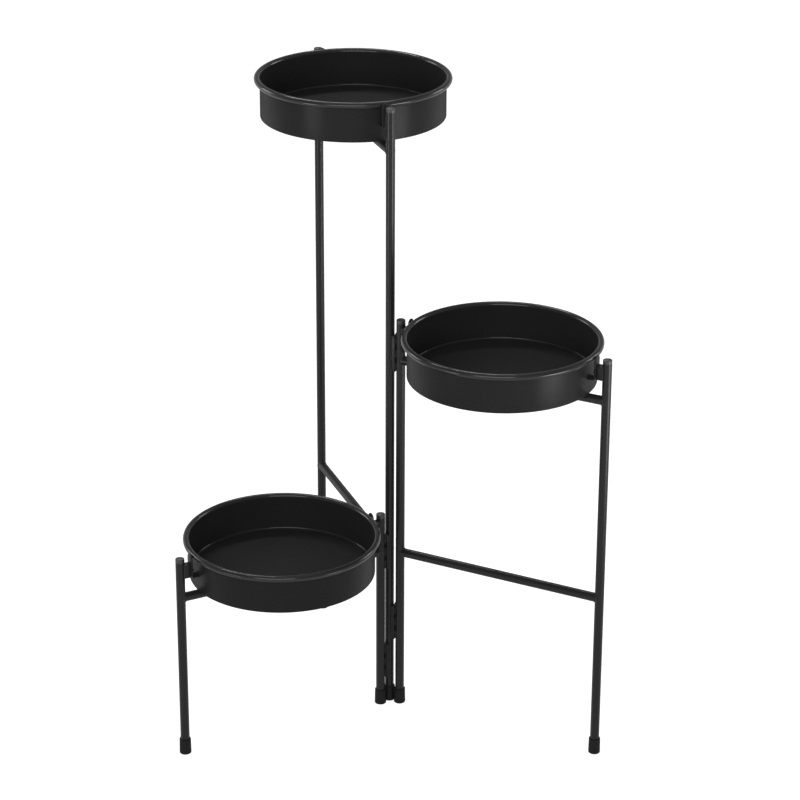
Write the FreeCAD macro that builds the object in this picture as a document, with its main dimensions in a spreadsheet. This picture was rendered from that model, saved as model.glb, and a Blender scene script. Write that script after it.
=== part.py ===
# A folding plant stand of black powder-coated steel tube.  Three ladder frames
# stand round one post: the tall frame carries the top tray, and the middle and
# low frames are hinged to its front leg like the pages of a book.
# Lengths in mm, angles in degrees, +Z up.  The origin is on the floor under the
# tall frame's front leg, the post that both other frames turn about.
import FreeCAD, Part
import Sketcher
import os
import re

os.makedirs("parts", exist_ok=True)
doc = FreeCAD.newDocument("plant_stand")

SIZES = {
    # round tube of the legs and crossbars
    "tube_dia": 12.0,
    "tube_wall": 1.0,
    "weld_fit": 0.05,          # joint gap left where a piece is welded on
    # heights above the floor
    "tall_leg_top": 842.0,
    "middle_leg_top": 559.0,
    "low_leg_top": 281.5,
    "tray_bar_drop": 51.5,     # from a leg's top down to its tray bar's axis
    "lower_bar_height": 229.0,
    # directions in plan, from +X towards +Y
    "tall_frame_dir": 109.8,
    "middle_frame_dir": -27.6,
    "low_frame_dir": 208.1,
    "middle_post_dir": -30.0,  # from the tall post to the middle frame's post
    "low_post_dir": 222.0,
    # trays
    "tray_dia": 260.0,         # over the rolled bead
    "tray_side_gap": 10.4,     # from the bead to the legs on either side
    "tray_depth": 50.0,        # from the lower edge to the bead's centre
    "tray_sheet": 0.9,
    "bead_dia": 8.4,
    "curl_opening": 1.8,       # the slit where the rolled edge stops short
    "curl_end_drop": 1.4,      # its upper end below the bead's centre
    "floor_lift": 2.6,         # the floor sits above the wall's lower edge
    "floor_fillet": 1.6,
    # ears, lugs and screws that hold a tray between its legs
    "ear_gap": 1.0,            # between the bead and the ear
    "ear_sheet": 2.0,
    "ear_width": 13.0,
    "ear_rise": 4.4,           # the ear's round top above the bead's centre
    "ear_drop": 28.5,          # its foot below the bead's centre
    "ear_bend": 3.0,
    "lug_width": 9.0,
    "lug_height": 19.5,
    "lug_drop": 18.3,          # the lug's middle below the bead's centre
    "screw_dia": 5.0,
    "screw_head_dia": 9.0,
    "screw_head_height": 2.6,
    "screw_bite": 4.8,         # how far the screw enters the lug
    "screw_fit": 0.02,
    # plugs in the tops of the legs
    "plug_rim": 2.4,
    "plug_dome": 3.6,
    "plug_spigot": 10.0,
    "plug_fit": 0.05,
    # rubber feet
    "foot_dia": 15.7,
    "foot_height": 21.5,
    "foot_sole": 3.0,
    "foot_taper": 0.3,
    "foot_round": 1.2,
    "foot_fit": 0.02,
    # butt hinges
    "hinge_length": 50.0,
    "leaf_sheet": 1.95,
    "leaf_width": 13.0,
    "leaf_gap": 0.3,           # between the closed leaves
    "barrel_dia": 6.6,
    "barrel_clear": 0.7,       # between the barrel and the legs beside it
    "knuckle_gap": 0.3,
    "pin_dia": 3.2,
    "pin_fit": 0.05,
    "pin_head_dia": 5.4,
    "pin_head_height": 1.4,
    "middle_upper_hinge": 491.0,   # the lower end of each hinge
    "middle_lower_hinge": 97.0,
    "low_upper_hinge": 204.0,
    "low_lower_hinge": 38.0,
}
KNUCKLES = 5                   # along one hinge, by turns on each leaf

sizes = doc.addObject("Spreadsheet::Sheet", "Sizes")
for line, (alias, value) in enumerate(SIZES.items(), start=1):
    sizes.set("A%d" % line, alias.replace("_", " "))
    sizes.set("B%d" % line, str(value))
    sizes.setAlias("B%d" % line, alias)
doc.recompute()

# Lengths that several pieces share, worked out from the driving sizes.
SHARED = {
    "tube_r": "tube_dia / 2",
    "bore_r": "tube_r - tube_wall",
    "cope_r": "tube_r + weld_fit",
    "post_spacing": "tube_dia + 2 * leaf_sheet + leaf_gap + 2 * weld_fit",
    "leg_spacing": "tray_dia + 2 * tray_side_gap + tube_dia",
    "half_spacing": "leg_spacing / 2",
    "bead_r": "bead_dia / 2",
    "bead_centre_r": "tray_dia / 2 - bead_r",
    "wall_in_r": "tray_dia / 2 - bead_dia",
    "wall_out_r": "wall_in_r + tray_sheet",
    "ear_in_r": "tray_dia / 2 + ear_gap",
    "ear_out_r": "ear_in_r + ear_sheet",
    "screw_r": "screw_dia / 2",
    "tray_rest": "tray_bar_drop - tube_r",    # tray's lower edge below leg top
    "pin_reach": "tube_r + barrel_dia / 2 + barrel_clear",
    "pin_side": "sqrt(pin_reach ^ 2 - (post_spacing / 2) ^ 2)",
    "knuckle_step": "hinge_length / %d" % KNUCKLES,
}
WORD = re.compile(r"[a-z][a-z_]*[a-z]")


def expression(text):
    """Spell out the shared lengths and point each size at its cell."""
    def spell(match):
        word = match.group(0)
        if word in SHARED:
            return "(" + WORD.sub(spell, SHARED[word]) + ")"
        return "Sizes." + word if word in SIZES else word
    return WORD.sub(spell, str(text))


def present(text):
    """An expression's value as the sheet stands, to draw a sketch in place."""
    found = sizes.evalExpression(expression(text))
    return float(getattr(found, "Value", found))


def bind(obj, **places):
    """Tie properties to the sheet; a double underscore stands for a dot."""
    for name, text in places.items():
        obj.setExpression(name.replace("__", "."), expression(text))
    return obj


# Where each frame stands: its hinge leg's axis, and the way to its outer leg.
# A hinge is laid out along the line from the tall post to the other post.
STANDS = {
    "tall": ("0", "0", "tall_frame_dir"),
    "middle": ("post_spacing * cos(middle_post_dir * 1 deg)",
               "post_spacing * sin(middle_post_dir * 1 deg)", "middle_frame_dir"),
    "low": ("post_spacing * cos(low_post_dir * 1 deg)",
            "post_spacing * sin(low_post_dir * 1 deg)", "low_frame_dir"),
    "middle_hinge": ("0", "0", "middle_post_dir"),
    "low_hinge": ("0", "0", "low_post_dir"),
}
LEG_TOP = {"tall": "tall_leg_top", "middle": "middle_leg_top", "low": "low_leg_top"}
finished = []


def place(obj, label, stand, along="0", up="0", turn=0):
    """Name a finished sub-part and set it on its frame."""
    base_x, base_y, way = STANDS[stand]
    axis = FreeCAD.Vector(0, 0, 1)
    obj.Placement = FreeCAD.Placement(FreeCAD.Vector(), FreeCAD.Rotation(axis, 1))
    bind(obj,
         Placement__Base__x="%s + (%s) * cos(%s * 1 deg)" % (base_x, along, way),
         Placement__Base__y="%s + (%s) * sin(%s * 1 deg)" % (base_y, along, way),
         Placement__Base__z=up,
         Placement__Rotation__Angle="%s + %d" % (way, turn))
    obj.Label = label
    finished.append(obj)


# ---- building blocks --------------------------------------------------------
def box(name, length, width, height, x="0", y="0", z="0"):
    solid = doc.addObject("Part::Box", name)
    return bind(solid, Length=length, Width=width, Height=height,
                Placement__Base__x=x, Placement__Base__y=y, Placement__Base__z=z)


def cylinder(name, radius, height, x="0", y="0", z="0", lying=False):
    """A round bar: upright, or lying along X."""
    solid = doc.addObject("Part::Cylinder", name)
    if lying:
        turn = FreeCAD.Rotation(FreeCAD.Vector(0, 1, 0), 90)
        solid.Placement = FreeCAD.Placement(FreeCAD.Vector(), turn)
    return bind(solid, Radius=radius, Height=height,
                Placement__Base__x=x, Placement__Base__y=y, Placement__Base__z=z)


def cut(name, base, tool):
    result = doc.addObject("Part::Cut", name)
    result.Base = base
    result.Tool = tool
    return result


def fuse(name, *shapes):
    result = doc.addObject("Part::MultiFuse", name)
    result.Shapes = list(shapes)
    return result


def sketch(owner, name, plane):
    made = owner.newObject("Sketcher::SketchObject", name)
    origin = [part for part in owner.Origin.OriginFeatures if part.Role == plane][0]
    made.AttachmentSupport = [(origin, "")]
    made.MapMode = "FlatFace"
    return made


def tie(profile, *where, to):
    """Add a driving dimension to a sketch and bind it to the sheet."""
    index = profile.addConstraint(Sketcher.Constraint(*where, present(to)))
    profile.setExpression("Constraints[%d]" % index, expression(to))


def pin_point(profile, element, end, x, y):
    """Hold one point of a sketch at x, y from its origin."""
    if x == "0":
        profile.addConstraint(Sketcher.Constraint("PointOnObject", element, end, -2))
    else:
        tie(profile, "DistanceX", -1, 1, element, end, to=x)
    if y == "0":
        profile.addConstraint(Sketcher.Constraint("PointOnObject", element, end, -1))
    else:
        tie(profile, "DistanceY", -1, 1, element, end, to=y)


def outline(profile, corners):
    """A closed run of straight lines through corners given as expressions."""
    spots = [FreeCAD.Vector(present(x), present(y), 0) for x, y in corners]
    count = len(spots)
    for k in range(count):
        profile.addGeometry(Part.LineSegment(spots[k], spots[(k + 1) % count]), False)
    for k in range(count):
        after = (k + 1) % count
        profile.addConstraint(Sketcher.Constraint("Coincident", k, 2, after, 1))
    for k, (x, y) in enumerate(corners):
        pin_point(profile, k, 1, x, y)


def ring(profile, radii, x="0", y="0"):
    """Concentric circles about x, y."""
    centre = FreeCAD.Vector(present(x), present(y), 0)
    up = FreeCAD.Vector(0, 0, 1)
    for radius in radii:
        circle = profile.addGeometry(Part.Circle(centre, up, present(radius)), False)
        pin_point(profile, circle, 3, x, y)
        tie(profile, "Radius", circle, to=radius)


def revolve(owner, name, profile, kind="Revolution"):
    feature = owner.newObject("PartDesign::" + kind, name)
    feature.Profile = profile
    feature.ReferenceAxis = (profile, ["V_Axis"])
    feature.Angle = 360.0
    owner.Tip = feature
    return feature


def edges_at(feature, radius, height):
    """Names of a feature's circular edges of one radius at one height."""
    found = []
    for number, edge in enumerate(feature.Shape.Edges, start=1):
        if isinstance(edge.Curve, Part.Circle):
            same = abs(edge.Curve.Radius - radius) < 0.001
            if same and abs(edge.Curve.Center.z - height) < 0.001:
                found.append("Edge%d" % number)
    return found


def round_edges(owner, name, feature, names, radius):
    doc.recompute()
    fillet = owner.newObject("PartDesign::Fillet", name)
    fillet.Base = (feature, names())
    bind(fillet, Radius=radius)
    owner.Tip = fillet


# ---- legs, plugs and feet ------------------------------------------------------
def leg(label, frame, along):
    tube = doc.addObject("PartDesign::Body", label)
    section = sketch(tube, label + "_section", "XY_Plane")
    ring(section, ("tube_r", "bore_r"))
    pad = tube.newObject("PartDesign::Pad", label + "_tube")
    pad.Profile = section
    bind(pad, Length=LEG_TOP[frame] + " - foot_sole")
    tube.Tip = pad
    place(tube, label, frame, along, up="foot_sole")


def plug(label, frame, along):
    """A push-in plug: a spigot inside the tube under a low domed cap."""
    cap = doc.addObject("PartDesign::Body", label)
    half = sketch(cap, label + "_half", "XZ_Plane")
    spigot_r = "bore_r - plug_fit"
    outline(half, [("0", "0 - plug_spigot"), (spigot_r, "0 - plug_spigot"), (spigot_r, "0"),
                   ("tube_r", "0"), ("tube_r", "plug_rim"), ("0", "plug_rim")])
    revolve(cap, label + "_stem", half)
    # The dome is a slice of a ball whose edge meets the rim.
    ball_r = "(tube_r ^ 2 + plug_dome ^ 2) / (2 * plug_dome)"
    dome = sketch(cap, label + "_dome", "XZ_Plane")
    low = "plug_rim + plug_dome - %s" % ball_r
    centre = FreeCAD.Vector(0, present(low), 0)
    edge = FreeCAD.Vector(present("tube_r"), present("plug_rim"), 0)
    top = FreeCAD.Vector(0, present("plug_rim + plug_dome"), 0)
    foot = FreeCAD.Vector(0, present("plug_rim"), 0)
    middle = (edge - centre + top - centre).normalize() * present(ball_r) + centre
    dome.addGeometry(Part.Arc(edge, middle, top), False)
    dome.addGeometry(Part.LineSegment(top, foot), False)
    dome.addGeometry(Part.LineSegment(foot, edge), False)
    # an arc drawn from the edge to the top starts at its low end
    start, end = (1, 2) if dome.getPoint(0, 1).x > dome.getPoint(0, 2).x else (2, 1)
    dome.addConstraint(Sketcher.Constraint("Coincident", 0, end, 1, 1))
    dome.addConstraint(Sketcher.Constraint("Coincident", 1, 2, 2, 1))
    dome.addConstraint(Sketcher.Constraint("Coincident", 2, 2, 0, start))
    pin_point(dome, 1, 1, "0", "plug_rim + plug_dome")
    pin_point(dome, 2, 1, "0", "plug_rim")
    pin_point(dome, 2, 2, "tube_r", "plug_rim")
    dome.addConstraint(Sketcher.Constraint("PointOnObject", 0, 3, -2))
    revolve(cap, label + "_cap", dome)
    place(cap, label, frame, along, up=LEG_TOP[frame])


def foot(label, frame, along):
    """A rubber cup pushed on from below, a little wider at its sole."""
    cup = doc.addObject("PartDesign::Body", label)
    half = sketch(cup, label + "_half", "XZ_Plane")
    wide, narrow, bore = "foot_dia / 2", "foot_dia / 2 - foot_taper", "tube_r + foot_fit"
    outline(half, [("0", "0"), (wide, "0"), (narrow, "foot_height"), (bore, "foot_height"),
                   (bore, "foot_sole"), ("0", "foot_sole")])
    turned = revolve(cup, label + "_turned", half)
    round_edges(cup, label + "_lower_round", turned,
                lambda: edges_at(turned, present(wide), 0.0), "foot_round")
    lower = cup.Tip
    round_edges(cup, label + "_upper_round", lower,
                lambda: edges_at(lower, present(narrow), present("foot_height")),
                "foot_round / 2")
    place(cup, label, frame, along)


# ---- crossbars -------------------------------------------------------------
def crossbar(label, frame, height):
    """A tube between a frame's two legs, its ends coped to sit against them."""
    outside = cylinder(label + "_outside", "tube_r", "leg_spacing", z=height, lying=True)
    inside = cylinder(label + "_inside", "bore_r", "leg_spacing", z=height, lying=True)
    tube = cut(label + "_tube", outside, inside)
    reach = "2 * tube_dia"
    start = "%s - tube_dia" % height
    near = cylinder(label + "_near_cope", "cope_r", reach, z=start)
    far = cylinder(label + "_far_cope", "cope_r", reach, x="leg_spacing", z=start)
    place(cut(label, tube, fuse(label + "_copes", near, far)), label, frame)


# ---- trays -------------------------------------------------------------------
def tray(label, frame):
    """A spun sheet tray: a wall with a rolled bead, and a floor set a little up."""
    pan = doc.addObject("PartDesign::Body", label)
    wall = sketch(pan, label + "_wall_half", "XZ_Plane")
    outline(wall, [("0", "floor_lift"), ("wall_in_r", "floor_lift"), ("wall_in_r", "0"),
                   ("wall_out_r", "0"), ("wall_out_r", "tray_depth"),
                   ("wall_in_r", "tray_depth"), ("wall_in_r", "floor_lift + tray_sheet"),
                   ("0", "floor_lift + tray_sheet")])
    turned = revolve(pan, label + "_wall", wall)
    round_edges(pan, label + "_floor_fillet", turned,
                lambda: edges_at(turned, present("wall_in_r"),
                                 present("floor_lift + tray_sheet")), "floor_fillet")
    roll = sketch(pan, label + "_bead_section", "XZ_Plane")
    ring(roll, ("bead_r", "bead_r - tray_sheet"), "bead_centre_r", "tray_depth")
    revolve(pan, label + "_bead", roll)
    slit = sketch(pan, label + "_curl_opening", "XZ_Plane")
    left, right = "wall_out_r", "wall_out_r + curl_opening"
    low, high = "tray_depth - bead_dia", "tray_depth - curl_end_drop"
    outline(slit, [(left, low), (right, low), (right, high), (left, high)])
    revolve(pan, label + "_curl_edge", slit, "Groove")
    place(pan, label, frame, "half_spacing", up=LEG_TOP[frame] + " - tray_rest")


def ear_corner(name, low):
    """A quarter ring that joins an ear's upright to its ledge."""
    centre_x, centre_z = "ear_out_r - ear_bend", "%s + ear_bend" % low
    outer = doc.addObject("Part::Cylinder", name + "_outer")
    inner = doc.addObject("Part::Cylinder", name + "_inner")
    lie = FreeCAD.Rotation(FreeCAD.Vector(1, 0, 0), 90)
    for solid, radius in ((outer, "ear_bend"), (inner, "ear_bend - ear_sheet")):
        solid.Placement = FreeCAD.Placement(FreeCAD.Vector(), lie)
        bind(solid, Radius=radius, Height="ear_width", Placement__Base__x=centre_x,
             Placement__Base__y="ear_width / 2", Placement__Base__z=centre_z)
    full_ring = cut(name + "_ring", outer, inner)
    corner = box(name + "_corner", "ear_bend", "ear_width", "ear_bend",
                 x=centre_x, y="0 - ear_width / 2", z=low)
    piece = doc.addObject("Part::Common", name)
    piece.Base = full_ring
    piece.Tool = corner
    return piece


def tray_fixing(label, frame, turn):
    """The ear on the tray and the lug on the leg that it is screwed to."""
    bead_up = "tray_depth"
    level = LEG_TOP[frame] + " - tray_rest"
    half = "ear_width / 2"
    low = "%s - ear_drop" % bead_up
    top = "%s + ear_rise - %s" % (bead_up, half)
    ear = label + "_ear"
    upright = box(ear + "_upright", "ear_sheet", "ear_width", "%s - (%s) - ear_bend" % (top, low),
                  x="ear_in_r", y="0 - %s" % half, z="%s + ear_bend" % low)
    crown = cylinder(ear + "_crown", half, "ear_sheet", x="ear_in_r", z=top, lying=True)
    ledge = box(ear + "_ledge", "ear_out_r - wall_in_r - ear_bend", "ear_width", "ear_sheet",
                x="wall_in_r", y="0 - %s" % half, z=low)
    corner = ear_corner(ear + "_bend", low)
    strip = fuse(ear + "_strip", upright, crown, ledge, corner)
    against = cylinder(ear + "_against_wall", "wall_out_r", "2 * ear_drop", z="%s - ear_drop" % low)
    seated = cut(ear + "_seated", strip, against)
    hole_z = "%s - lug_drop" % bead_up
    hole = cylinder(ear + "_hole", "screw_r + screw_fit", "3 * ear_sheet",
                    x="ear_in_r - ear_sheet", z=hole_z, lying=True)
    place(cut(ear, seated, hole), ear, frame, "half_spacing", level, turn)

    lug = label + "_lug"
    block = box(lug + "_block", "half_spacing - ear_out_r", "lug_width", "lug_height",
                x="ear_out_r", y="0 - lug_width / 2", z="%s - lug_height / 2" % hole_z)
    cope = cylinder(lug + "_cope", "cope_r", "3 * lug_height", x="half_spacing",
                    z="%s - 1.5 * lug_height" % hole_z)
    tapped = cylinder(lug + "_tapped", "screw_r + screw_fit", "screw_bite",
                      x="ear_out_r", z=hole_z, lying=True)
    place(cut(lug, block, fuse(lug + "_tools", cope, tapped)), lug, frame,
          "half_spacing", level, turn)

    screw = label + "_screw"
    shank = cylinder(screw + "_shank", "screw_r", "ear_sheet + screw_bite",
                     x="ear_in_r", z=hole_z, lying=True)
    head = cylinder(screw + "_head", "screw_head_dia / 2", "screw_head_height",
                    x="ear_in_r - screw_head_height", z=hole_z, lying=True)
    place(fuse(screw, shank, head), screw, frame, "half_spacing", level, turn)


# ---- hinges ---------------------------------------------------------------------
def leaf(label, wing, start, side, own):
    """One leaf: a plate on a post, and every other knuckle of the barrel.
    side is -1 for the leaf on the tall post and 1 for the one on the wing's;
    own lists the knuckles that this leaf carries."""
    fold = FOLD[wing]
    middle = "post_spacing / 2"
    pin_y = "%d * pin_side" % fold
    barrel_r = "barrel_dia / 2"
    face = "%s + %d * leaf_gap / 2" % (middle, side)
    plate_x = face if side > 0 else face + " - leaf_sheet"
    plate_len = "leaf_width / 2 + pin_side"
    plate_y = "0 - leaf_width / 2" if fold > 0 else "0 - pin_side"
    plate = box(label + "_plate", "leaf_sheet", plate_len, "hinge_length", plate_x, plate_y)
    barrel = cylinder(label + "_barrel", barrel_r, "hinge_length", middle, pin_y)
    whole = fuse(label + "_whole", plate, barrel)
    bore = cylinder(label + "_bore", "pin_dia / 2 + pin_fit", "hinge_length", middle, pin_y)
    tools = [bore]
    clear = "(%s + leaf_gap)" % barrel_r
    for k in range(KNUCKLES):
        if k in own:
            continue
        low = "%d * knuckle_step - knuckle_gap" % k if k else "0"
        gaps = 2 if 0 < k < KNUCKLES - 1 else 1
        tools.append(box("%s_notch_%d" % (label, k), "2 * %s" % clear, "2 * %s" % clear,
                         "knuckle_step + %d * knuckle_gap" % gaps,
                         "%s - %s" % (middle, clear), "%s - %s" % (pin_y, clear), low))
    place(cut(label, whole, fuse(label + "_tools", *tools)), label, wing + "_hinge", up=start)


def hinge_pin(label, wing, start):
    """A pin with a low head at each end of the barrel."""
    pin_y = "%d * pin_side" % FOLD[wing]
    middle = "post_spacing / 2"
    rod = cylinder(label + "_rod", "pin_dia / 2", "hinge_length", middle, pin_y)
    heads = [cylinder(label + "_head_%d" % k, "pin_head_dia / 2", "pin_head_height",
                      middle, pin_y, z)
             for k, z in enumerate(("0 - pin_head_height", "hinge_length"))]
    place(fuse(label, rod, *heads), label, wing + "_hinge", up=start)


# The wing that is unfolded on the right swings back anticlockwise, the left one
# clockwise, so their barrels lie on opposite sides of the line between posts.
FOLD = {"middle": 1, "low": -1}
TALL_KNUCKLES = range(0, KNUCKLES, 2)
WING_KNUCKLES = range(1, KNUCKLES, 2)

for frame in ("tall", "middle", "low"):
    for where, along in (("hinge", "0"), ("outer", "leg_spacing")):
        leg("%s_%s_leg" % (frame, where), frame, along)
        plug("%s_%s_plug" % (frame, where), frame, along)
        foot("%s_%s_foot" % (frame, where), frame, along)
    crossbar(frame + "_tray_bar", frame, LEG_TOP[frame] + " - tray_bar_drop")
    if frame != "low":
        crossbar(frame + "_lower_bar", frame, "lower_bar_height")
    tray(frame + "_tray", frame)
    tray_fixing(frame + "_outer", frame, 0)
    tray_fixing(frame + "_inner", frame, 180)

for wing in ("middle", "low"):
    for level in ("upper", "lower"):
        name = "%s_%s" % (wing, level)
        start = name + "_hinge"
        leaf(name + "_post_leaf", wing, start, -1, TALL_KNUCKLES)
        leaf(name + "_wing_leaf", wing, start, 1, WING_KNUCKLES)
        hinge_pin(name + "_hinge_pin", wing, start)

doc.recompute()

# ---- checks and export ------------------------------------------------------------
for obj in doc.Objects:
    if "Invalid" in obj.State or "Error" in obj.State:
        raise RuntimeError("%s failed: %s" % (obj.Name, obj.State))
for obj in finished:
    if obj.Shape.isNull() or not obj.Shape.isValid():
        raise RuntimeError(obj.Label + " has no valid shape")
for obj in finished:
    obj.Shape.exportStep("parts/%s.step" % obj.Label)
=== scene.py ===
import bmesh
import bpy
from math import asin, ceil, cos, degrees, pi, radians, sin, sqrt
from mathutils import Matrix, Vector


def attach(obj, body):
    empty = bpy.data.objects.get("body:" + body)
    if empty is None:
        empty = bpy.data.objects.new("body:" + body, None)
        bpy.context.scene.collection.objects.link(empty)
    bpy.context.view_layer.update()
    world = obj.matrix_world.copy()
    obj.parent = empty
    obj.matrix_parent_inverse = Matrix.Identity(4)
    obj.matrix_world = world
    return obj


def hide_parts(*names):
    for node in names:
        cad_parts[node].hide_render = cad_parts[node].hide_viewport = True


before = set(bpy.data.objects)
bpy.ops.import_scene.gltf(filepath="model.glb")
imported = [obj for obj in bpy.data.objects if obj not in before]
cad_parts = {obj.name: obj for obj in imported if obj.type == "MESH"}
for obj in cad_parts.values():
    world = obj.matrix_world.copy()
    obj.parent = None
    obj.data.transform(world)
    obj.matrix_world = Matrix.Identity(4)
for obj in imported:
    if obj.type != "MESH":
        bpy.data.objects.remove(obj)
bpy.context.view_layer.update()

# ---- sizes of the stand, in millimetres and degrees ----------------------------------
MM = 0.001
TUBE_R = 6.0
LEG_SPACING = 292.8
HALF = LEG_SPACING / 2
TRAY_REST = 45.5               # from the leg tops down to the tray's lower edge
TRAY_BAR_DROP = 51.5           # from the leg tops down to the bar under the tray
LOWER_BAR_Z = 229.0
POST_SPACING = 16.3
MIDDLE_POST_WAY = -30.0        # from the tall frame's hinge leg to the wing's
LOW_POST_WAY = 222.0


def post(way):
    """Where a wing's hinge leg stands beside the tall one."""
    return POST_SPACING * cos(radians(way)), POST_SPACING * sin(radians(way))


# Each frame's hinge leg on the floor, the way its frame runs, and its leg tops.
STANDS = {
    "tall": ((0.0, 0.0), 109.8, 842.0),
    "middle": (post(MIDDLE_POST_WAY), -27.6, 559.0),
    "low": (post(LOW_POST_WAY), 208.1, 281.5),
}
# The middle and low frames are the wings. Each has its way from the tall post, the side
# that its barrels are on, and the heights of its hinges' lower ends.
HINGES = {
    "middle": (MIDDLE_POST_WAY, 1, {"upper": 491.0, "lower": 97.0}),
    "low": (LOW_POST_WAY, -1, {"upper": 204.0, "lower": 38.0}),
}


def stand(where, along=0.0, up=0.0, turn=0.0):
    """The place of a piece on a frame: along it from the hinge leg, and up."""
    (x, y), way, _ = STANDS[where]
    x += along * cos(radians(way))
    y += along * sin(radians(way))
    return (Matrix.Translation(Vector((x, y, up)) * MM)
            @ Matrix.Rotation(radians(way + turn), 4, "Z"))


def body_of(where):
    return where + "_frame"


# ---- node helpers --------------------------------------------------------------------
def give(tree, slot, value):
    """Link another socket to a socket, or set it to a plain number or colour."""
    if isinstance(value, bpy.types.NodeSocket):
        tree.links.new(value, slot)
    else:
        slot.default_value = value


def maths(tree, how, first, second):
    node = tree.nodes.new("ShaderNodeMath")
    node.operation = how
    for slot, value in zip(node.inputs, (first, second)):
        give(tree, slot, value)
    return node.outputs["Value"]


def noise(tree, place, scale, detail, roughness=0.5):
    node = tree.nodes.new("ShaderNodeTexNoise")
    give(tree, node.inputs["Vector"], place)
    give(tree, node.inputs["Scale"], scale)
    node.inputs["Detail"].default_value = detail
    node.inputs["Roughness"].default_value = roughness
    return node.outputs["Fac"]


def spread(tree, value, low, high, to_low, to_high):
    """Stretch a value's middle range over a new one."""
    node = tree.nodes.new("ShaderNodeMapRange")
    give(tree, node.inputs["Value"], value)
    node.inputs["From Min"].default_value = low
    node.inputs["From Max"].default_value = high
    node.inputs["To Min"].default_value = to_low
    node.inputs["To Max"].default_value = to_high
    return node.outputs["Result"]


def mixed(tree, factor, first, second):
    """Blend from the first colour to the second."""
    node = tree.nodes.new("ShaderNodeMix")
    node.data_type = "RGBA"
    give(tree, node.inputs["Factor"], factor)
    give(tree, node.inputs["A"], first)
    give(tree, node.inputs["B"], second)
    return node.outputs["Result"]


def raised(tree, height, depth):
    node = tree.nodes.new("ShaderNodeBump")
    node.inputs["Distance"].default_value = depth
    give(tree, node.inputs["Height"], height)
    return node.outputs["Normal"]


def object_place(tree):
    return tree.nodes.new("ShaderNodeTexCoord").outputs["Object"]


def effect(name, takes, puts_out):
    """An empty node group with named number sockets, and its two end nodes."""
    tree = bpy.data.node_groups.new(name, "ShaderNodeTree")
    for side, names in (("INPUT", takes), ("OUTPUT", puts_out)):
        for label in names:
            tree.interface.new_socket(name=label, in_out=side, socket_type="NodeSocketFloat")
    return tree, tree.nodes.new("NodeGroupInput").outputs, tree.nodes.new("NodeGroupOutput").inputs


def grouped(tree, group, **values):
    node = tree.nodes.new("ShaderNodeGroup")
    node.node_tree = group
    for name, value in values.items():
        node.inputs[name.replace("_", " ")].default_value = value
    return node.outputs


def material(name):
    made = bpy.data.materials.new(name)
    made.use_nodes = True
    tree = made.node_tree
    return made, tree, tree.nodes["Principled BSDF"]


# ---- shared finish effects -----------------------------------------------------------
CLOUDS = 14.0                  # patches of uneven gloss, per metre
SPECKS = 900.0                 # paler specks in the colour, per metre
DUST_PATCHES = 55.0            # thicker and thinner dust, per metre
DUST_LEVEL = 0.75              # how nearly a face looks up where dust begins to lie
DUST_COLOUR = (0.16, 0.155, 0.15, 1.0)
DUST_DULLING = 0.5             # roughness that full dust adds
HAZE = 0.6                     # roughness that a glancing view adds
HAZE_POWER = 3.0
FLOW_ROUGHNESS = 0.10
BEND_MARK = "bend"             # a mesh's mark, 1 on its rolled and pressed bends


def skin_group():
    """Baked powder: a fine grain on soft orange peel, with its gloss a little uneven."""
    tree, given, out = effect("powder_skin", ("Peel per metre", "Grain per metre", "Grain share"),
                              ("Height", "Gloss change", "Tone"))
    where = object_place(tree)
    peel = noise(tree, where, given["Peel per metre"], 1.0)
    grain = noise(tree, where, given["Grain per metre"], 3.0)
    fine = maths(tree, "MULTIPLY", grain, given["Grain share"])
    cloud = noise(tree, where, CLOUDS, 4.0, 0.6)
    speck = noise(tree, where, SPECKS, 2.0)
    give(tree, out["Height"], maths(tree, "ADD", peel, fine))
    give(tree, out["Gloss change"], spread(tree, cloud, 0.3, 0.7, -1.0, 1.0))
    give(tree, out["Tone"], spread(tree, speck, 0.35, 0.65, 0.0, 1.0))
    return tree


def dust_group():
    """A thin film of dust that lies only on faces that look up."""
    tree, given, out = effect("settled_dust", ("Amount",), ("Dust",))
    shape = tree.nodes.new("ShaderNodeNewGeometry")
    parts = tree.nodes.new("ShaderNodeSeparateXYZ")
    give(tree, parts.inputs["Vector"], shape.outputs["Normal"])
    level = spread(tree, parts.outputs["Z"], DUST_LEVEL, 1.0, 0.0, 1.0)
    cloud = noise(tree, object_place(tree), DUST_PATCHES, 5.0, 0.65)
    film = maths(tree, "MULTIPLY", level, spread(tree, cloud, 0.38, 0.68, 0.25, 1.0))
    give(tree, out["Dust"], maths(tree, "MULTIPLY", film, given["Amount"]))
    return tree


SKIN = skin_group()
DUST = dust_group()


def glancing_haze(tree):
    """Extra roughness where the surface is seen at a glance, as fine powder grain shows."""
    weight = tree.nodes.new("ShaderNodeLayerWeight")
    steep = maths(tree, "POWER", weight.outputs["Facing"], HAZE_POWER)
    return maths(tree, "MULTIPLY", steep, HAZE)


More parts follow.
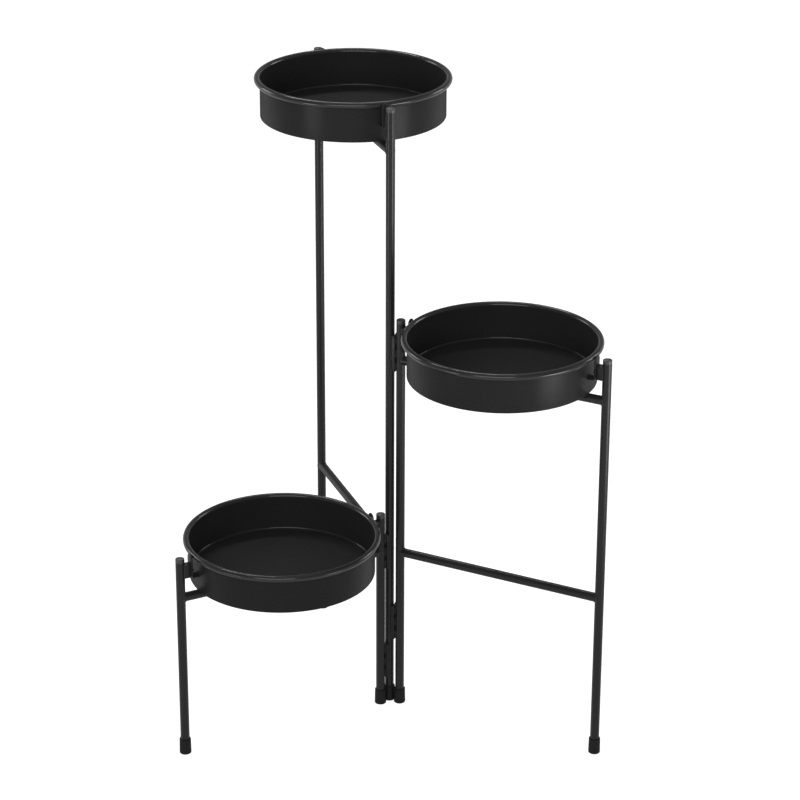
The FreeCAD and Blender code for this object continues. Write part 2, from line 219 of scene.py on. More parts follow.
def finish_of(name, dark, pale, *, rough, uneven, peel, grain, share, depth,
              dust=0.0, specular=0.5, metal=0.0, flow=0.0):
    """A coated or moulded surface: two close tones, uneven gloss, grain, dust on top.

    Where powder flows thick, on a piece's marked bends, flow is its share of extra gloss.
    """
    made, tree, shader = material(name)
    skin = grouped(tree, SKIN, Peel_per_metre=peel, Grain_per_metre=grain, Grain_share=share)
    tone = mixed(tree, skin["Tone"], (*dark, 1.0), (*pale, 1.0))
    gloss = maths(tree, "MULTIPLY", skin["Gloss change"], uneven)
    gloss = maths(tree, "ADD", gloss, rough)
    if dust:
        film = grouped(tree, DUST, Amount=dust)["Dust"]
        tone = mixed(tree, film, tone, DUST_COLOUR)
        gloss = maths(tree, "ADD", gloss, maths(tree, "MULTIPLY", film, DUST_DULLING))
    if flow:
        mark = tree.nodes.new("ShaderNodeAttribute")
        mark.attribute_name = BEND_MARK
        give(tree, shader.inputs["Coat Weight"], maths(tree, "MULTIPLY", mark.outputs["Fac"], flow))
        shader.inputs["Coat Roughness"].default_value = FLOW_ROUGHNESS
    give(tree, shader.inputs["Base Color"], tone)
    give(tree, shader.inputs["Roughness"], maths(tree, "ADD", gloss, glancing_haze(tree)))
    give(tree, shader.inputs["Normal"], raised(tree, skin["Height"], depth))
    shader.inputs["Specular IOR Level"].default_value = specular
    shader.inputs["Metallic"].default_value = metal
    return made


# Peel and grain are counted per metre and depth is in metres.
TUBE_COAT = finish_of("black_powder_coat_tube", (0.0140, 0.0140, 0.0145), (0.0175, 0.0175, 0.0180),
                      rough=0.28, uneven=0.02, peel=420.0, grain=2600.0, share=0.35,
                      depth=0.00004, dust=0.02, specular=0.16)
TRAY_COAT = finish_of("black_powder_coat_tray", (0.0155, 0.0155, 0.0160), (0.0190, 0.0190, 0.0195),
                      rough=0.29, uneven=0.012, peel=300.0, grain=2200.0, share=0.3,
                      depth=0.00004, dust=0.01, specular=0.05, flow=0.42)
WELD_COAT = finish_of("black_powder_coat_weld", (0.0135, 0.0135, 0.0140), (0.0170, 0.0170, 0.0175),
                      rough=0.26, uneven=0.05, peel=700.0, grain=2400.0, share=0.5,
                      depth=0.00012, specular=0.3)
# The hinge leaves are the same black powder coat as the tubes, painted lighter: painted light
# standing in for the fill light and glints on the hinge.
HINGE_COAT_PAINTED_LIGHT = finish_of("black_powder_coat_hinge_painted_light", (0.0190, 0.0190, 0.0195), (0.0250, 0.0250, 0.0255),
                       rough=0.30, uneven=0.04, peel=520.0, grain=2600.0, share=0.4,
                       depth=0.00005, dust=0.02, specular=0.2)
PLUG_PLASTIC = finish_of("black_moulded_plug", (0.022, 0.022, 0.023), (0.028, 0.028, 0.029),
                         rough=0.42, uneven=0.03, peel=900.0, grain=4200.0, share=0.8,
                         depth=0.00004, dust=0.06, specular=0.45)
FOOT_RUBBER = finish_of("black_moulded_rubber", (0.0065, 0.0065, 0.0065), (0.0105, 0.0105, 0.0100),
                        rough=0.62, uneven=0.05, peel=600.0, grain=3600.0, share=1.0,
                        depth=0.00008, specular=0.14)
PIN_STEEL = finish_of("blackened_pin_steel", (0.050, 0.050, 0.052), (0.085, 0.083, 0.080),
                      rough=0.34, uneven=0.06, peel=800.0, grain=3000.0, share=0.6,
                      depth=0.00003, metal=1.0)
SCREW_BLACK = finish_of("black_oxide_screw", (0.030, 0.030, 0.032), (0.050, 0.050, 0.052),
                        rough=0.32, uneven=0.05, peel=800.0, grain=3000.0, share=0.6,
                        depth=0.00003, metal=1.0)

COATS = {"tube_coat": TUBE_COAT, "tray_coat": TRAY_COAT, "hinge_coat": HINGE_COAT_PAINTED_LIGHT,
         "plug_plastic": PLUG_PLASTIC, "foot_rubber": FOOT_RUBBER,
         "pin_steel": PIN_STEEL, "screw_black": SCREW_BLACK}


# ---- making pieces -------------------------------------------------------------------
SHARP_EDGE = radians(34)
CORNER_EDGE = radians(60)
SAME_POINT = 0.0005
TINY = 1e-4                    # a length below this counts as none
DRUM_SIDES = 40


def smooth_object(name, shape, coat):
    """Make a finished shape a smooth object of the scene."""
    for face in shape.faces:
        face.smooth = True
    mesh = bpy.data.meshes.new(name)
    shape.to_mesh(mesh)
    shape.free()
    mesh.materials.append(coat)
    made = bpy.data.objects.new(name, mesh)
    bpy.context.scene.collection.objects.link(made)
    return made


def add_piece(name, shape, place, body, slot, coat=None, stands_for=()):
    """Close a shape made in millimetres, set it in its place and ride it on a body."""
    bmesh.ops.remove_doubles(shape, verts=shape.verts, dist=SAME_POINT)
    bmesh.ops.recalc_face_normals(shape, faces=shape.faces)
    for edge in shape.edges:
        if len(edge.link_faces) == 2:
            edge.smooth = edge.calc_face_angle(0.0) < SHARP_EDGE
    bmesh.ops.transform(shape, matrix=place @ Matrix.Scale(MM, 4), verts=shape.verts)
    piece = smooth_object(name, shape, coat or COATS[slot])
    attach(piece, body)
    if stands_for:
        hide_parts(*stands_for)


class Line:
    """A pen that draws a half section in the XZ plane, to be turned or thickened."""

    def __init__(self, x, z):
        self.shape = bmesh.new()
        self.first = bmesh.ops.create_vert(self.shape, co=(x, 0, z))["vert"][0]
        self.tip = self.first

    def to(self, x, z):
        self.tip = bmesh.ops.extrude_vert_indiv(self.shape, verts=[self.tip])["verts"][0]
        self.tip.co = (x, 0, z)
        return self

    def round(self, x, z, angle, steps):
        """Go round the centre x, z; anticlockwise is positive."""
        turned = bmesh.ops.spin(self.shape, geom=[self.tip], cent=(x, 0, z), axis=(0, -1, 0),
                                angle=radians(angle), steps=steps)
        self.tip = turned["geom_last"][0]
        return self

    def turn(self, steps):
        """Spin the line round the Z axis."""
        bmesh.ops.spin(self.shape, geom=self.shape.verts[:] + self.shape.edges[:], cent=(0, 0, 0),
                       axis=(0, 0, 1), angle=2 * pi, steps=steps, use_merge=True)
        return self.shape

    def across(self, width):
        """Close and fill the line and give it a width, half on each side."""
        self.shape.edges.new((self.tip, self.first))
        bmesh.ops.contextual_create(self.shape, geom=self.shape.edges[:])
        bmesh.ops.translate(self.shape, vec=(0, -width / 2, 0), verts=self.shape.verts)
        grown = bmesh.ops.extrude_face_region(self.shape, geom=self.shape.faces[:])
        fresh = [part for part in grown["geom"] if isinstance(part, bmesh.types.BMVert)]
        bmesh.ops.translate(self.shape, vec=(0, width, 0), verts=fresh)
        bmesh.ops.recalc_face_normals(self.shape, faces=self.shape.faces)
        return self.shape


def soften(shape, edges, offset, segments=2):
    bmesh.ops.bevel(shape, geom=edges, offset=offset, offset_type="OFFSET", segments=segments,
                    profile=0.5, affect="EDGES", material=-1, clamp_overlap=True)


def corners(shape):
    return [edge for edge in shape.edges
            if len(edge.link_faces) == 2 and edge.calc_face_angle(0.0) > CORNER_EDGE]


def edges_of(shape, points):
    """The edges of a solid whose points an operator has just made."""
    fresh = set(points)
    return [edge for edge in shape.edges if edge.verts[0] in fresh]


def block(shape, low, high, soft):
    """A softened block between two corners, added to a shape."""
    size = Vector(high) - Vector(low)
    middle = (Vector(high) + Vector(low)) / 2
    place = Matrix.Translation(middle) @ Matrix.Diagonal((*size, 1.0))
    made = bmesh.ops.create_cube(shape, size=1.0, matrix=place)["verts"]
    soften(shape, edges_of(shape, made), soft)


def drum(shape, radius, low, high, x, y, soft):
    """A round drum on end with softened rims, added to a shape."""
    place = Matrix.Translation((x, y, (low + high) / 2))
    made = bmesh.ops.create_cone(shape, cap_ends=True, segments=DRUM_SIDES, radius1=radius,
                                 radius2=radius, depth=high - low, matrix=place)["verts"]
    rims = [edge for edge in edges_of(shape, made)
            if abs(edge.verts[0].co.z - edge.verts[1].co.z) < TINY]
    soften(shape, rims, soft)


# ---- weld beads ----------------------------------------------------------------------
RIPPLE_PITCH = 1.7
RIPPLE_DEPTH = 0.09            # as a share of the bead's radius
WELD_STEP = 0.45               # between the knots of a straight bead
WELD_TIP = 0.55                # an open bead's end, as a share of its radius
WELD_SWELL = 0.3               # the share that each next knot adds
RING_KNOTS = 150
BAR_WELD_R = 0.8
BAR_WELD_OFF = 0.1             # the ring's centre line off the leg
BAR_WELD_OUT = 0.05            # and off the bar


def weld(name, runs, place, body):
    """Rippled fillet beads. Each run is (points, radius, whether it is a closed ring)."""
    curve = bpy.data.curves.new(name, "CURVE")
    curve.dimensions = "3D"
    curve.bevel_depth = 1.0
    curve.bevel_resolution = 3
    curve.use_fill_caps = True
    for points, radius, ring in runs:
        spline = curve.splines.new("POLY")
        spline.points.add(len(points) - 1)
        gone = 0.0
        for k, (knot, spot) in enumerate(zip(spline.points, points)):
            if k:
                gone += (Vector(spot) - Vector(points[k - 1])).length
            from_end = min(k, len(points) - 1 - k)
            full = 1.0 if ring else min(1.0, WELD_TIP + WELD_SWELL * from_end)
            knot.co = (*spot, 1.0)
            knot.radius = radius * full * (1 + RIPPLE_DEPTH * cos(2 * pi * gone / RIPPLE_PITCH))
        spline.use_cyclic_u = ring
    carrier = bpy.data.objects.new(name, curve)
    made = bpy.data.meshes.new_from_object(carrier)
    shape = bmesh.new()
    shape.from_mesh(made)
    bpy.data.objects.remove(carrier)
    bpy.data.meshes.remove(made)
    add_piece(name, shape, place, body, "tube_coat", WELD_COAT)


def run_up(x, y, low, high):
    """The knots of a bead that runs straight up."""
    count = ceil((high - low) / WELD_STEP)
    return [(x, y, low + (high - low) * k / count) for k in range(count + 1)]


def bar_ring(height, end):
    """The line where a bar meets a leg as wide as itself; end 0 is at the hinge leg."""
    around = TUBE_R + BAR_WELD_OUT
    ring = []
    for k in range(RING_KNOTS):
        turn = 2 * pi * k / RING_KNOTS
        reach = TUBE_R * abs(sin(turn)) + BAR_WELD_OFF
        x = LEG_SPACING - reach if end else reach
        ring.append((x, around * cos(turn), height + around * sin(turn)))
    return ring


def bar_welds(where, top):
    """A bead round both ends of each of a frame's bars."""
    heights = [top - TRAY_BAR_DROP]
    if where != "low":
        heights.append(LOWER_BAR_Z)
    rings = [(bar_ring(height, end), BAR_WELD_R, True) for height in heights for end in (0, 1)]
    weld(where + "_bar_welds", rings, stand(where), body_of(where))


# ---- plugs and feet ------------------------------------------------------------------
PLUG_R = 5.97
PLUG_TOP = 6.0
PLUG_SIDES = 56
SHOULDER_R = 1.1
SHOULDER_Z = 4.2
SHOULDER_TURN = 78.0
PLUG_RIM = 0.25                # the rounding of the rim that sits on the tube's end
PLUG_GAP = 0.02
SHANK_R = 4.9
SHANK_LENGTH = 10.0
SHANK_TAPER = 0.5
SHANK_TAPER_RISE = 0.8

FOOT_R = 7.85
FOOT_BORE = 6.04
FOOT_SOLE = 3.0
FOOT_SIDES = 64
FOOT_LIP_R = 7.56
FOOT_LIP_Z = 20.9
LIP_ROUND = 0.6
LIP_TOP = FOOT_LIP_Z + LIP_ROUND
LIP_TOP_IN = 6.5               # the lip's flat top ends here
LIP_CHAMFER = 0.4              # and slopes down this far to the bore
SOLE_ROUND = 1.2
HOLLOW_R = 4.9                 # the shallow hollow under the sole
HOLLOW_SLOPE = 0.3
HOLLOW = 0.5
GROOVE_LOW = (FOOT_R - 0.01, 3.6)     # the moulded line's edges, radius and height
GROOVE_HIGH = (FOOT_R - 0.02, 4.5)
GROOVE_SLOPE = 0.25
GROOVE_R = 7.66                # the bottom of the moulded line


def plug(name, where, along, top):
    """A push-in plug: a rounded shoulder, a nearly flat crown and a fine step at the tube."""
    rim_x = PLUG_R - PLUG_RIM
    cap = Line(0, -SHANK_LENGTH).to(SHANK_R - SHANK_TAPER, -SHANK_LENGTH)
    cap.to(SHANK_R, SHANK_TAPER_RISE - SHANK_LENGTH).to(SHANK_R, PLUG_GAP).to(rim_x, PLUG_GAP)
    cap.round(rim_x, PLUG_GAP + PLUG_RIM, 90, 4).to(PLUG_R, SHOULDER_Z)
    cap.round(PLUG_R - SHOULDER_R, SHOULDER_Z, SHOULDER_TURN, 8)
    crown_x = PLUG_R - SHOULDER_R + SHOULDER_R * cos(radians(SHOULDER_TURN))
    rise = PLUG_TOP - SHOULDER_Z - SHOULDER_R * sin(radians(SHOULDER_TURN))
    crown_r = (crown_x ** 2 + rise ** 2) / (2 * rise)
    cap.round(0, PLUG_TOP - crown_r, degrees(asin(crown_x / crown_r)), 8)
    add_piece(name, cap.turn(PLUG_SIDES), stand(where, along, top), body_of(where), "plug_plastic",
              stands_for=(name,))


def foot(name, where, along):
    """A rubber cup with a rounded sole, a moulded line round it and a rounded lip."""
    sole_x = FOOT_R - SOLE_ROUND
    cup = Line(0, HOLLOW).to(HOLLOW_R - HOLLOW_SLOPE, HOLLOW).to(HOLLOW_R, 0).to(sole_x, 0)
    cup.round(sole_x, SOLE_ROUND, 90, 8).to(*GROOVE_LOW).to(GROOVE_R, GROOVE_LOW[1] + GROOVE_SLOPE)
    cup.to(GROOVE_R, GROOVE_HIGH[1] - GROOVE_SLOPE).to(*GROOVE_HIGH).to(FOOT_LIP_R, FOOT_LIP_Z)
    cup.round(FOOT_LIP_R - LIP_ROUND, FOOT_LIP_Z, 90, 6).to(LIP_TOP_IN, LIP_TOP)
    cup.to(FOOT_BORE, LIP_TOP - LIP_CHAMFER).to(FOOT_BORE, FOOT_SOLE).to(0, FOOT_SOLE)
    add_piece(name, cup.turn(FOOT_SIDES), stand(where, along), body_of(where), "foot_rubber",
              stands_for=(name,))


# ---- trays ---------------------------------------------------------------------------
RIM_R = 130.0
BEAD_R = 4.2
BEAD_Z = 50.0                  # the bead's middle above the tray's lower edge
CURL = 291.0                   # how far the rolled edge goes round
SHEET = 0.9
WALL_IN = RIM_R - 2 * BEAD_R
WALL_OUT = WALL_IN + SHEET
FLOOR_UNDER = 2.6
FLOOR_TOP = FLOOR_UNDER + SHEET
FLOOR_BEND = 1.9               # the radius where the floor turns up into the wall
HEM_BEND = 0.7                 # the same turn under the floor
FLOOR_RING = 60.0              # a ring of points that divides the flat floor
BEND_MARGIN = 1.5              # from the floor's bend to the ring of points beside it
BEAD_MARGIN = 2.0              # and from the rolled bead to the one below it
MARK_MARGIN = 0.1
TRAY_SIDES = 240


def mark_bends(shape, corner_x, corner_z):
    """Mark the points of the rolled bead and of the bend between floor and wall."""
    mark = shape.verts.layers.float.new(BEND_MARK)
    for vert in shape.verts:
        reach, height = vert.co.xy.length, vert.co.z
        bend = (FLOOR_TOP - MARK_MARGIN < height < corner_z + MARK_MARGIN
                and corner_x - MARK_MARGIN < reach < WALL_IN + MARK_MARGIN)
        bead = height > BEAD_Z - MARK_MARGIN or reach > WALL_OUT + MARK_MARGIN
        vert[mark] = float(bend or bead)


def tray(where, top):
    """The spun pan: floor, wall, rolled bead with its open curl, and the lower hem."""
    bead_x = RIM_R - BEAD_R
    corner_x, corner_z = WALL_IN - FLOOR_BEND, FLOOR_TOP + FLOOR_BEND
    stop = radians(180 - CURL)
    lip = BEAD_R - SHEET / 2
    hem_x = WALL_OUT - SHEET / 2
    pan = Line(0, FLOOR_TOP).to(FLOOR_RING, FLOOR_TOP).to(corner_x - BEND_MARGIN, FLOOR_TOP)
    pan.to(corner_x, FLOOR_TOP).round(corner_x, corner_z, 90, 10).to(WALL_IN, corner_z + BEND_MARGIN)
    pan.to(WALL_IN, BEAD_Z - BEAD_MARGIN).to(WALL_IN, BEAD_Z).round(bead_x, BEAD_Z, -CURL, 56)
    pan.round(bead_x + lip * cos(stop), BEAD_Z + lip * sin(stop), -180, 6)
    pan.round(bead_x, BEAD_Z, CURL, 40).to(WALL_OUT, BEAD_Z - BEAD_MARGIN)
    pan.to(WALL_OUT, SHEET / 2).round(hem_x, SHEET / 2, -180, 8).to(WALL_IN, FLOOR_UNDER - HEM_BEND)
    pan.round(WALL_IN - HEM_BEND, FLOOR_UNDER - HEM_BEND, 90, 6)
    pan.to(FLOOR_RING, FLOOR_UNDER).to(0, FLOOR_UNDER)
    shape = pan.turn(TRAY_SIDES)
    mark_bends(shape, corner_x, corner_z)
    add_piece(where + "_tray", shape, stand(where, HALF, top - TRAY_REST),
              body_of(where), "tray_coat", stands_for=(where + "_tray",))


# ---- ears, lugs and screws -----------------------------------------------------------
EAR_IN = 131.0
EAR_OUT = 133.0
EAR_THICK = EAR_OUT - EAR_IN
EAR_LOW = BEAD_Z - 28.5
EAR_HIGH = BEAD_Z + 4.4
EAR_BEND = 3.0
EAR_WIDTH = 13.0
EAR_CROWN = 6.4
EAR_CROWN_STEPS = 14
EAR_SOFT = 0.4
EAR_SINK = 0.1                 # the foot of the ear goes this far into the wall
EAR_WELD_R = 0.8
EAR_WELD_OUT = 0.15            # off the wall
EAR_WELD_DROP = 0.1            # under the ear
EAR_WELD_STEP = 0.5
EAR_WELD_STEPS = 12            # on each side of the middle

LUG_Z = BEAD_Z - 18.3
LUG_WIDTH = 9.0
LUG_HEIGHT = 19.5
LUG_END = 3.9                  # short of the leg's axis
LUG_SOFT = 0.9
LUG_WELD_R = 0.85
LUG_WELD_SIDE = 0.1            # off the lug's side
LUG_WELD_OFF = 0.2             # off the leg
LUG_WELD_SHORT = 0.75          # short of the lug's ends

SCREW_R = 2.5
SCREW_REACH = 6.8
SCREW_POINT = 0.5
SCREW_POINT_TAPER = 0.4
SCREW_SIDES = 40
HEAD_R = 4.5
HEAD_ROUND = 0.2
HEAD_DOME = ((HEAD_R, 0.6), (4.35, 1.25), (3.9, 1.85), (3.1, 2.35), (1.6, 2.6), (0, 2.6))


def ear(name, place, body):
    """A bent strip welded to the tray's wall, with a round top."""
    strip = Line(WALL_OUT - EAR_SINK, EAR_LOW).to(EAR_OUT - EAR_BEND, EAR_LOW)
    strip.round(EAR_OUT - EAR_BEND, EAR_LOW + EAR_BEND, 90, 8)
    strip.to(EAR_OUT, EAR_HIGH).to(EAR_IN, EAR_HIGH).to(EAR_IN, EAR_LOW + EAR_BEND)
    strip.round(EAR_OUT - EAR_BEND, EAR_LOW + EAR_BEND, -90, 8)
    strip.to(WALL_OUT - EAR_SINK, EAR_LOW + EAR_THICK)
    shape = strip.across(EAR_WIDTH)
    crown = [edge for edge in shape.edges
             if all(abs(vert.co.z - EAR_HIGH) < TINY for vert in edge.verts)
             and abs(edge.verts[0].co.y - edge.verts[1].co.y) < TINY]
    soften(shape, crown, EAR_CROWN, EAR_CROWN_STEPS)
    soften(shape, corners(shape), EAR_SOFT)
    add_piece(name, shape, place, body, "tube_coat", stands_for=(name,))


def lug(name, place, body):
    """A block welded to the leg, which takes the screw."""
    shape = bmesh.new()
    block(shape, (EAR_OUT, -LUG_WIDTH / 2, LUG_Z - LUG_HEIGHT / 2),
          (HALF - LUG_END, LUG_WIDTH / 2, LUG_Z + LUG_HEIGHT / 2), LUG_SOFT)
    add_piece(name, shape, place, body, "tube_coat", stands_for=(name,))


def screw(name, place, body):
    """A round-headed screw, turned upright, then laid down with its head towards the tray."""
    rod = Line(0, -SCREW_REACH).to(SCREW_R - SCREW_POINT_TAPER, -SCREW_REACH)
    rod.to(SCREW_R, SCREW_POINT - SCREW_REACH).to(SCREW_R, 0).to(HEAD_R - HEAD_ROUND, 0)
    rod.round(HEAD_R - HEAD_ROUND, HEAD_ROUND, 90, 3)
    for x, z in HEAD_DOME:
        rod.to(x, z)
    shape = rod.turn(SCREW_SIDES)
    lie = Matrix.Translation((EAR_IN, 0, LUG_Z)) @ Matrix.Rotation(radians(-90), 4, "Y")
    bmesh.ops.transform(shape, matrix=lie, verts=shape.verts)
    add_piece(name, shape, place, body, "screw_black", stands_for=(name,))


def fixing_welds(name, place, body):
    """A bead up each side of the lug and one along the foot of the ear."""
    rise = LUG_HEIGHT / 2 - LUG_WELD_SHORT
    side = LUG_WIDTH / 2 + LUG_WELD_SIDE
    x = HALF - sqrt(TUBE_R ** 2 - side ** 2) - LUG_WELD_OFF
    runs = [(run_up(x, y, LUG_Z - rise, LUG_Z + rise), LUG_WELD_R, False) for y in (-side, side)]
    ledge = [(WALL_OUT + EAR_WELD_OUT, k * EAR_WELD_STEP, EAR_LOW - EAR_WELD_DROP)
             for k in range(-EAR_WELD_STEPS, EAR_WELD_STEPS + 1)]
    runs.append((ledge, EAR_WELD_R, False))
    weld(name, runs, place, body)


def fixing(where, side, turn, top):
    """An ear on the tray, the lug on the leg, the screw that joins them and the welds."""
    place = stand(where, HALF, top - TRAY_REST, turn)
    name = "%s_%s" % (where, side)
    body = body_of(where)
    ear(name + "_ear", place, body)
    lug(name + "_lug", place, body)
    screw(name + "_screw", place, body)
    fixing_welds(name + "_welds", place, body)


# ---- hinges --------------------------------------------------------------------------
HINGE_LENGTH = 50.0
HINGE_X = POST_SPACING / 2     # midway between the two posts
KNUCKLES = 5
KNUCKLE_STEP = HINGE_LENGTH / KNUCKLES
KNUCKLE_GAP = 0.15             # at each end that meets another knuckle
BARREL_R = 3.3
BARREL_GAP = 0.3               # between a plate's edge and the barrels
BARREL_SOFT = 0.35
BARREL_CLEAR = 0.7             # between the barrels and both posts
PIN_REACH = TUBE_R + BARREL_CLEAR + BARREL_R
PIN_SIDE = sqrt(PIN_REACH ** 2 - HINGE_X ** 2)     # the pin, beside the posts' line
LEAF_INNER = 0.15              # a plate's two faces, off the middle
LEAF_OUTER = 2.1
LEAF_FAR = 6.5                 # its edge away from the pin
LEAF_SOFT = 0.4
ROOT_LAP = 1.0                 # a knuckle's root laps over the plate's edge
ROOT_STOP = 1.2                # and stops short of the pin's axis
ROOT_SOFT = 0.25
PIN_R = 1.6
PIN_SIDES = 36
PIN_HEAD = ((1.7, 1.4), (2.4, 1.05), (2.7, 0.55), (2.7, 0.02), (PIN_R, 0.02))
LEAF_WELD_R = 1.1
LEAF_WELD_OFF = 0.55
LEAF_WELD_Y = 3.2
PIN_SIDE_WELD_Y = 0.8 * LEAF_WELD_Y
LEAF_WELDS = ((2.0, 12.0), (20.0, 30.0), (38.0, 48.0))


def hinge_place(wing, height):
    way, _, _ = HINGES[wing]
    return Matrix.Translation((0, 0, height * MM)) @ Matrix.Rotation(radians(way), 4, "Z")


def leaf(name, wing, height, side, own, body):
    """A stamped plate welded to a post, with its knuckles rolled round the pin."""
    _, fold, _ = HINGES[wing]
    pin_y = fold * PIN_SIDE
    edge_y = pin_y - fold * (BARREL_R + BARREL_GAP)
    low_x, high_x = sorted((HINGE_X + side * LEAF_INNER, HINGE_X + side * LEAF_OUTER))
    low_y, high_y = sorted((-fold * LEAF_FAR, edge_y))
    root_low, root_high = sorted((edge_y - fold * ROOT_LAP, pin_y - fold * ROOT_STOP))
    shape = bmesh.new()
    block(shape, (low_x, low_y, 0), (high_x, high_y, HINGE_LENGTH), LEAF_SOFT)
    for k in own:
        low = k * KNUCKLE_STEP + (KNUCKLE_GAP if k else 0.0)
        high = (k + 1) * KNUCKLE_STEP - (KNUCKLE_GAP if k < KNUCKLES - 1 else 0.0)
        block(shape, (low_x, root_low, low), (high_x, root_high, high), ROOT_SOFT)
        drum(shape, BARREL_R, low, high, HINGE_X, pin_y, BARREL_SOFT)
    add_piece(name, shape, hinge_place(wing, height), body, "hinge_coat", stands_for=(name,))


def hinge_pin(name, wing, height):
    """A pin with a low domed head above and below."""
    _, fold, _ = HINGES[wing]
    head = PIN_HEAD[0][1]
    rod = Line(0, -head)
    for x, z in PIN_HEAD:
        rod.to(x, -z)
    for x, z in reversed(PIN_HEAD):
        rod.to(x, HINGE_LENGTH + z)
    shape = rod.to(0, HINGE_LENGTH + head).turn(PIN_SIDES)
    bmesh.ops.translate(shape, vec=Vector((HINGE_X, fold * PIN_SIDE, 0)), verts=shape.verts)
    add_piece(name, shape, hinge_place(wing, height), "tall_frame", "pin_steel",
              stands_for=(name,))


def leaf_welds(name, wing, height, side, body):
    """Short beads in the two grooves between a leaf's plate and its post."""
    _, fold, _ = HINGES[wing]
    post_x = 0.0 if side < 0 else POST_SPACING
    runs = []
    for groove in (-1, 1):
        y = groove * (PIN_SIDE_WELD_Y if groove == fold else LEAF_WELD_Y)
        x = post_x - side * (sqrt(TUBE_R ** 2 - y ** 2) + LEAF_WELD_OFF)
        runs += [(run_up(x, y, low, high), LEAF_WELD_R, False) for low, high in LEAF_WELDS]
    weld(name, runs, hinge_place(wing, height), body)


# ---- the whole stand -----------------------------------------------------------------
for where, (_, _, top) in STANDS.items():
    for kind, along in (("hinge", 0.0), ("outer", LEG_SPACING)):
        plug("%s_%s_plug" % (where, kind), where, along, top)
        foot("%s_%s_foot" % (where, kind), where, along)
    tray(where, top)
    fixing(where, "outer", 0, top)
    fixing(where, "inner", 180, top)
    bar_welds(where, top)

for wing, (_, _, heights) in HINGES.items():
    for level, height in heights.items():
        name = "%s_%s" % (wing, level)
        leaf(name + "_post_leaf", wing, height, -1, range(0, KNUCKLES, 2), "tall_frame")
        leaf(name + "_wing_leaf", wing, height, 1, range(1, KNUCKLES, 2), body_of(wing))
        hinge_pin(name + "_hinge_pin", wing, height)
        leaf_welds(name + "_post_welds", wing, height, -1, "tall_frame")
        leaf_welds(name + "_wing_welds", wing, height, 1, body_of(wing))

# The tubes keep their CAD shape and take the coat.
for name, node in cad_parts.items():
    if name.endswith(("_leg", "_bar")):
        for slot in node.material_slots:
            slot.material = TUBE_COAT

# ---- studio, in metres ---------------------------------------------------------------
FLOOR_R = 8.0
COVE_BEND = 0.6
COVE_HEIGHT = 1.8
COVE_SIDES = 128
PAPER_COLOUR = (0.36, 0.36, 0.36, 1.0)
PAPER_ROUGHNESS = 0.9
PAPER_SHEEN = 0.1
PAPER_SHOWN = 0.87             # what the paper adds where the picture shows it
ROOM_LIGHT = 0.32
WHITE = (1.0, 1.0, 1.0, 1.0)
NO_GRID = 180.0                # degrees that a softbox's light fans out over
GRID = 44.0
CAMERA_PLACE = (0.01323, -3.39860, 1.89002)    # fitted to the photograph
CAMERA_DIP = 0.40148           # radians below the level
CAMERA_ROLL = 0.00376
CAMERA_LENS = 126.07           # millimetres, on a sensor 36 wide
CAMERA_FAR = 60.0


def seen_white(tree):
    """1 for rays that show the background, straight or mirrored, and 0 for others."""
    path = tree.nodes.new("ShaderNodeLightPath")
    both = maths(tree, "MAXIMUM", path.outputs["Is Camera Ray"], path.outputs["Is Glossy Ray"])
    return maths(tree, "MAXIMUM", both, path.outputs["Is Transmission Ray"])


def paper():
    made, tree, shader = material("pale_paper")
    shader.inputs["Base Color"].default_value = PAPER_COLOUR
    shader.inputs["Roughness"].default_value = PAPER_ROUGHNESS
    shader.inputs["Specular IOR Level"].default_value = PAPER_SHEEN
    shader.inputs["Emission Color"].default_value = WHITE
    shown = maths(tree, "MULTIPLY", seen_white(tree), PAPER_SHOWN)
    give(tree, shader.inputs["Emission Strength"], shown)
    return made


def softbox(name, spot, aim, width, height, watts, fan=NO_GRID):
    """A lit panel turned to its aim; a grid on its front narrows how far its light fans out."""
    lamp = bpy.data.lights.new(name, "AREA")
    lamp.shape = "RECTANGLE"
    lamp.size = width
    lamp.size_y = height
    lamp.energy = watts
    lamp.spread = radians(fan)
    box = bpy.data.objects.new(name, lamp)
    box.location = spot
    box.rotation_mode = "QUATERNION"
    box.rotation_quaternion = (Vector(aim) - Vector(spot)).to_track_quat("-Z", "Y")
    bpy.context.scene.collection.objects.link(box)


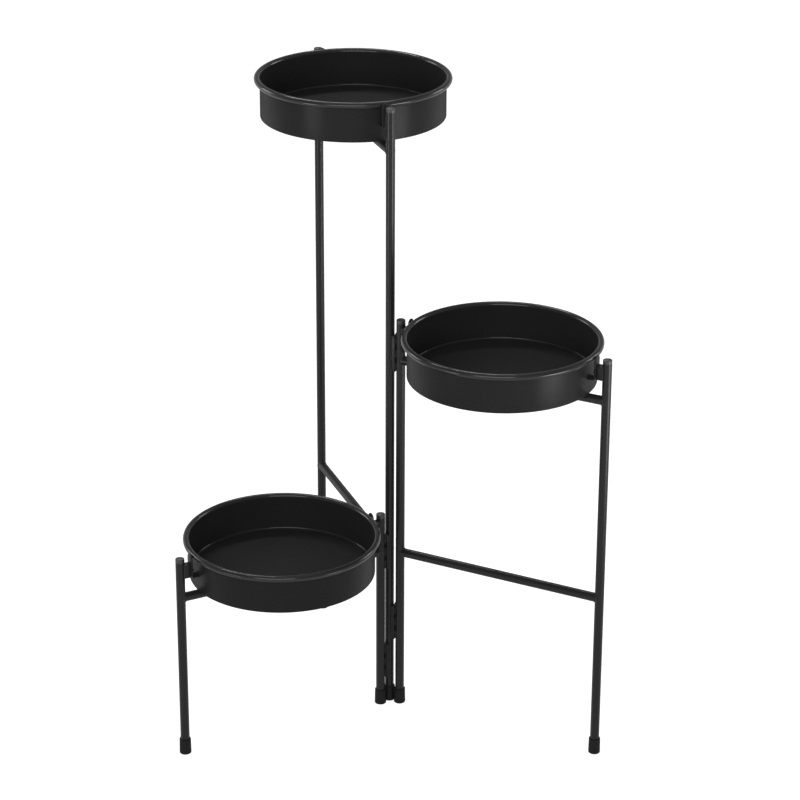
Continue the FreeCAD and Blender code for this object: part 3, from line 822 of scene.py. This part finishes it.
# A round white floor that turns up into a low wall far out, and a dim room above.
cove = Line(0, 0).to(FLOOR_R - COVE_BEND, 0).round(FLOOR_R - COVE_BEND, COVE_BEND, 90, 12)
cove_shape = cove.to(FLOOR_R, COVE_HEIGHT).turn(COVE_SIDES)
bmesh.ops.remove_doubles(cove_shape, verts=cove_shape.verts, dist=TINY)
bmesh.ops.recalc_face_normals(cove_shape, faces=cove_shape.faces)
bmesh.ops.reverse_faces(cove_shape, faces=cove_shape.faces)
floor = smooth_object("floor", cove_shape, paper())

world = bpy.data.worlds.new("studio")
bpy.context.scene.world = world
world.use_nodes = True
room = world.node_tree.nodes["Background"]
room.inputs["Color"].default_value = WHITE
room.inputs["Strength"].default_value = ROOM_LIGHT

# Each softbox: where it stands, what it aims at, its width and height, its watts, and its
# grid where it has one.
softbox("overhead_softbox", (-0.1, -0.2, 2.7), (0.0, 0.0, 0.4), 2.0, 1.6, 6.0)
softbox("back_strip_softbox", (-0.5, 1.35, 2.7), (0.0, 0.0, 0.5), 1.8, 0.25, 30.0)
softbox("camera_side_softbox", (-0.5, -3.6, 1.9), (0.0, 0.0, 0.5), 3.0, 1.5, 78.0)
softbox("back_left_softbox", (-3.0, 1.5, 1.5), (0.0, 0.0, 0.4), 1.2, 1.2, 26.0)
softbox("back_right_softbox", (3.0, 1.5, 1.5), (0.0, 0.0, 0.4), 1.2, 1.2, 26.0)
softbox("front_left_softbox", (-1.25, -0.95, 0.30), (-0.05, 0.0, 0.8), 0.50, 0.45, 0.42, GRID)
softbox("front_right_softbox", (1.14, -0.68, 0.22), (0.1, -0.05, 0.69), 0.70, 0.50, 1.0, GRID)

lens = bpy.data.cameras.new("camera")
lens.sensor_width = 36.0
lens.lens = CAMERA_LENS
lens.clip_end = CAMERA_FAR
camera = bpy.data.objects.new("camera", lens)
bpy.context.scene.collection.objects.link(camera)
camera.matrix_world = (Matrix.Translation(CAMERA_PLACE)
                       @ Matrix.Rotation(pi / 2 - CAMERA_DIP, 4, "X")
                       @ Matrix.Rotation(CAMERA_ROLL, 4, "Z"))
bpy.context.scene.camera = camera
bpy.context.scene.view_settings.view_transform = "Standard"
